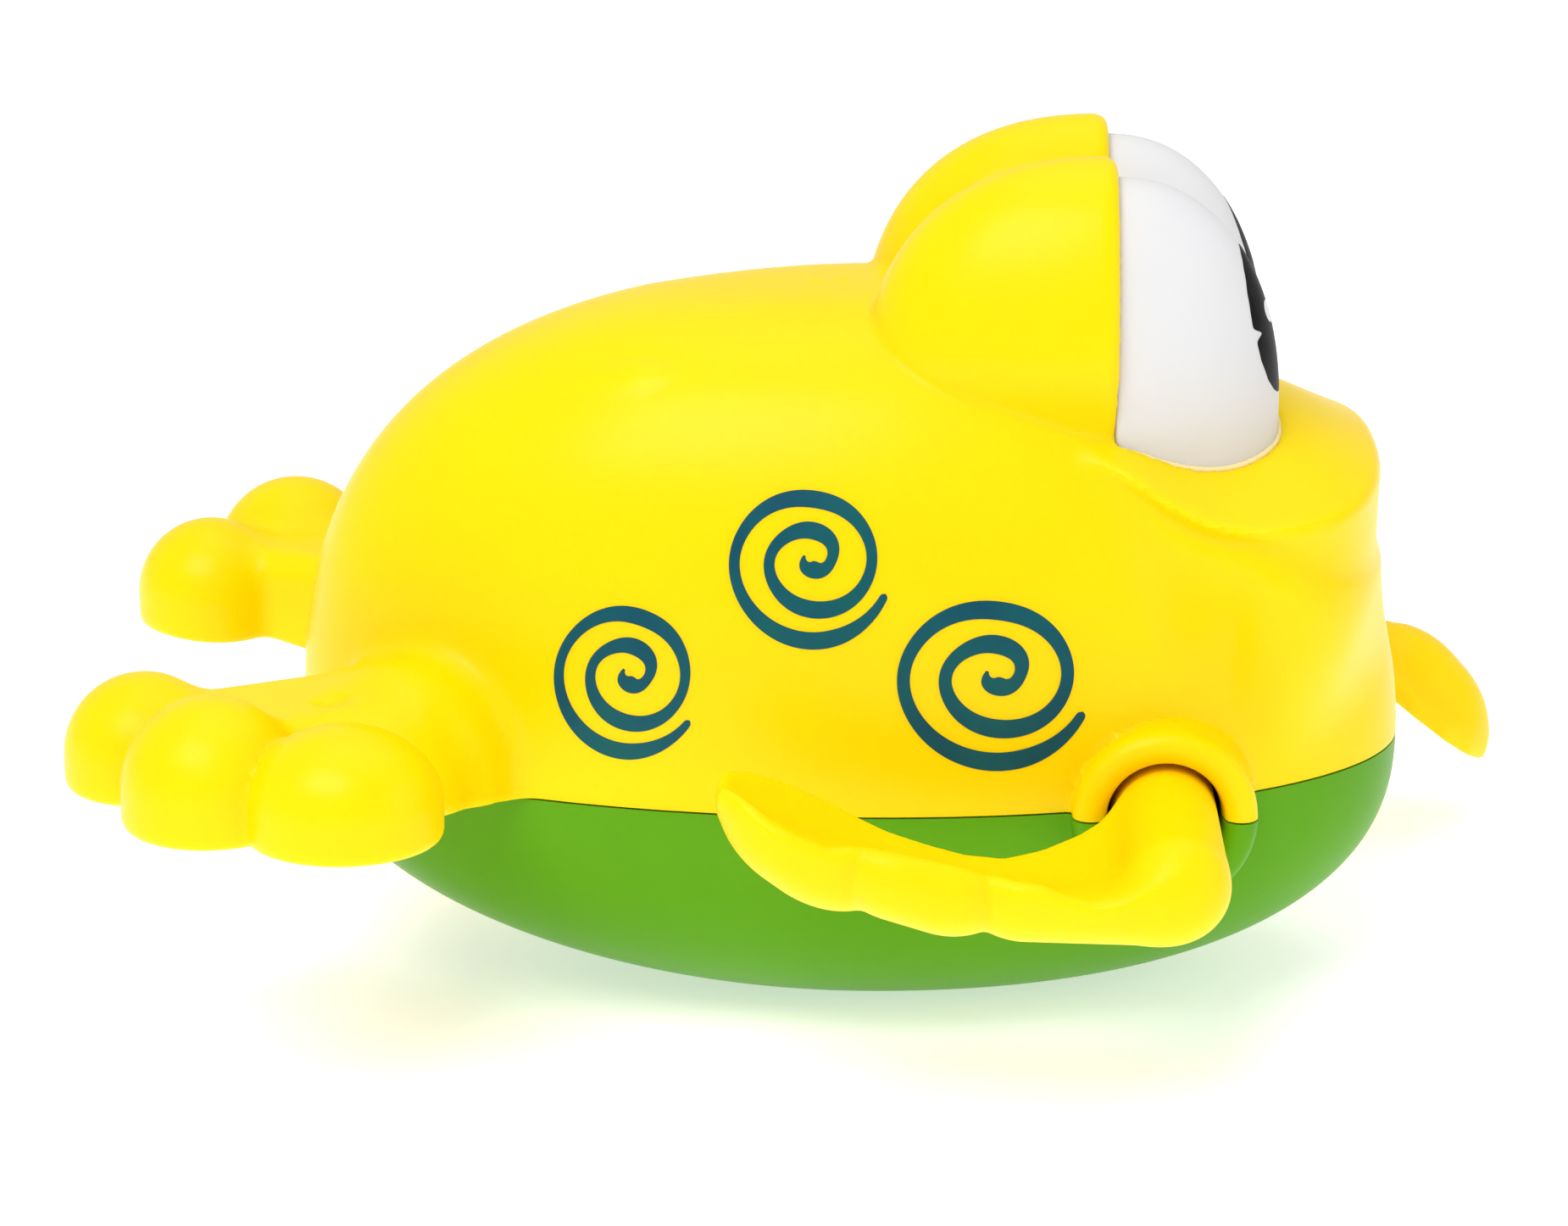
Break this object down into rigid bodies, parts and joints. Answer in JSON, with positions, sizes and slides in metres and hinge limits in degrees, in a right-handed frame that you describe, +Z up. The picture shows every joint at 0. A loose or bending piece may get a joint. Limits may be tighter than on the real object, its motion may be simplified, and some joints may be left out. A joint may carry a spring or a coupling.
{
  "type": "wind-up swimming frog",
  "caption": "Moulded plastic wind-up bath frog: rounded back on a boat-shaped hull, bulging eyes and cupped paddle arms geared to a clockwork motor.",
  "frame": {"origin": "centre of the flat rest face under the belly, on the plane the toy stands on", "axes": "+X forward toward the snout, +Y to the frog's left, +Z up"},
  "size_m": [0.131, 0.0926, 0.0769],
  "materials": {
    "shell_yellow": "glossy, slightly translucent moulded plastic",
    "arm_yellow": "satin, slightly softer moulded plastic",
    "knob_yellow": "glossy moulded plastic",
    "hull_green": "glossy moulded plastic with a fine grain",
    "eye_white": "satin moulded plastic, pupils printed black",
    "screw_steel": "zinc plated",
    "axle_steel": "ground",
    "spring_steel": "blued strip",
    "case_blue": "moulded",
    "gear_white": "moulded acetal"
  },
  "bodies": {
    "casing": {"upper_shell": "shell_yellow", "lower_shell": "hull_green", "eye_insert": "eye_white", "eye_screw_right": "screw_steel", "eye_screw_left": "screw_steel", "belly_screw_front": "screw_steel", "belly_screw_rear": "screw_steel", "gearcase_right": "case_blue", "gearcase_left": "case_blue", "case_screw_rear": "screw_steel", "case_screw_front": "screw_steel", "case_screw_top": "screw_steel", "mount_screw_front": "screw_steel", "mount_screw_rear": "screw_steel", "idler_pin_a": "axle_steel", "idler_pin_b": "axle_steel", "mainspring": "spring_steel"},
    "paddles": {"paddle_axle": "axle_steel", "drive_pinion": "gear_white", "right_arm": "arm_yellow", "left_arm": "arm_yellow"},
    "winder": {"winding_arbor": "axle_steel", "main_gear": "gear_white", "wind_knob": "knob_yellow"},
    "idler_a": {"idler_gear_a": "gear_white"},
    "idler_b": {"idler_gear_b": "gear_white"}
  },
  "joints": [
    {"name": "paddle_spin", "type": "hinge", "parent": "casing", "child": "paddles", "pos_m": [0.0217, 0, 0.0225], "axis": [0, 1, 0], "continuous": true},
    {"name": "winder_spin", "type": "hinge", "parent": "casing", "child": "winder", "pos_m": [-0.00889, 0, 0.02732], "axis": [0, 1, 0], "continuous": true, "deforming": ["mainspring"]},
    {"name": "idler_a_spin", "type": "hinge", "parent": "casing", "child": "idler_a", "pos_m": [0.00238, 0, 0.02321], "axis": [0, 1, 0], "continuous": true},
    {"name": "idler_b_spin", "type": "hinge", "parent": "casing", "child": "idler_b", "pos_m": [0.01243, 0, 0.02498], "axis": [0, 1, 0], "continuous": true}
  ],
  "couplings": [
    {"joint": "idler_b_spin", "follows": "paddle_spin", "ratio": -0.6},
    {"joint": "idler_a_spin", "follows": "paddle_spin", "ratio": 0.25},
    {"joint": "winder_spin", "follows": "paddle_spin", "ratio": -0.083333}
  ]
}
